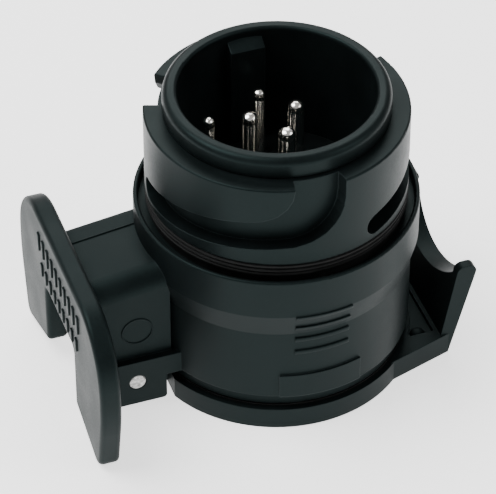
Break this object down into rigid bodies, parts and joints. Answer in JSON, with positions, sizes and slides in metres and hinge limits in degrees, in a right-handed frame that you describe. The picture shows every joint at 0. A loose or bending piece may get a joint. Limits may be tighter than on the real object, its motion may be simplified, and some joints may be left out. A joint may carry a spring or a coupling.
{
  "type": "trailer wiring adapter",
  "caption": "Short trailer wiring adapter: a bayonet plug with contact pins on top, and below it a round pin socket closed by a sprung lid with a finger tab and a label plate.",
  "frame": {"origin": "on the plug's axis, at the outer face of the closed lid, which the adapter stands on", "axes": "+Z along the plug's axis into the vehicle's socket; -X towards the hinge and label plate; +X towards the lid's finger tab; +Y towards the plug's key"},
  "size_m": [0.0656, 0.0456, 0.051],
  "materials": {
    "black_plastic": "fine spark-eroded mould texture, satin",
    "insert_plastic": "smooth satin",
    "seal_rubber": "matt",
    "steel": "cut end, dull",
    "plated_pin": "bright nickel",
    "plated_contact": "nickel",
    "lead_insulation": "PVC"
  },
  "bodies": {
    "housing": {"socket_housing": "black_plastic", "bayonet_sleeve": "black_plastic", "flange_gasket": "seal_rubber", "socket_insert": "insert_plastic", "insert_plate": "insert_plastic", "hinge_pin": "steel", "lid_spring": "steel", "socket_contact_1": "plated_contact", "socket_contact_2": "plated_contact", "socket_contact_3": "plated_contact", "socket_contact_4": "plated_contact", "socket_contact_5": "plated_contact", "socket_contact_6": "plated_contact", "socket_contact_7": "plated_contact", "lead_1": "lead_insulation", "lead_2": "lead_insulation", "lead_3": "lead_insulation", "lead_4": "lead_insulation", "lead_5": "lead_insulation", "lead_6": "lead_insulation", "lead_7": "lead_insulation"},
    "core": {"plug_shroud": "black_plastic", "pin_carrier": "insert_plastic", "core_o_ring": "seal_rubber", "core_retaining_ring": "steel", "plug_pin_1": "plated_pin", "plug_pin_2": "plated_pin", "plug_pin_3": "plated_pin", "plug_pin_4": "plated_pin", "plug_pin_5": "plated_pin", "plug_pin_6": "plated_pin", "plug_pin_7": "plated_pin"},
    "lid": {"lid": "black_plastic", "lid_gasket": "seal_rubber"}
  },
  "joints": [
    {"name": "core_turn", "type": "hinge", "parent": "housing", "child": "core", "pos_m": [0, 0, 0.03], "axis": [0, 0, 1], "range_deg": [-90, 0], "deforming": ["lead_1", "lead_2", "lead_3", "lead_4", "lead_5", "lead_6", "lead_7"]},
    {"name": "lid_hinge", "type": "hinge", "parent": "housing", "child": "lid", "pos_m": [-0.0264, 0, 0.006], "axis": [0, 1, 0], "range_deg": [0, 110], "stiffness_Nm_per_rad": 0.006, "springref_deg": -34.38, "deforming": ["lid_spring"]}
  ]
}
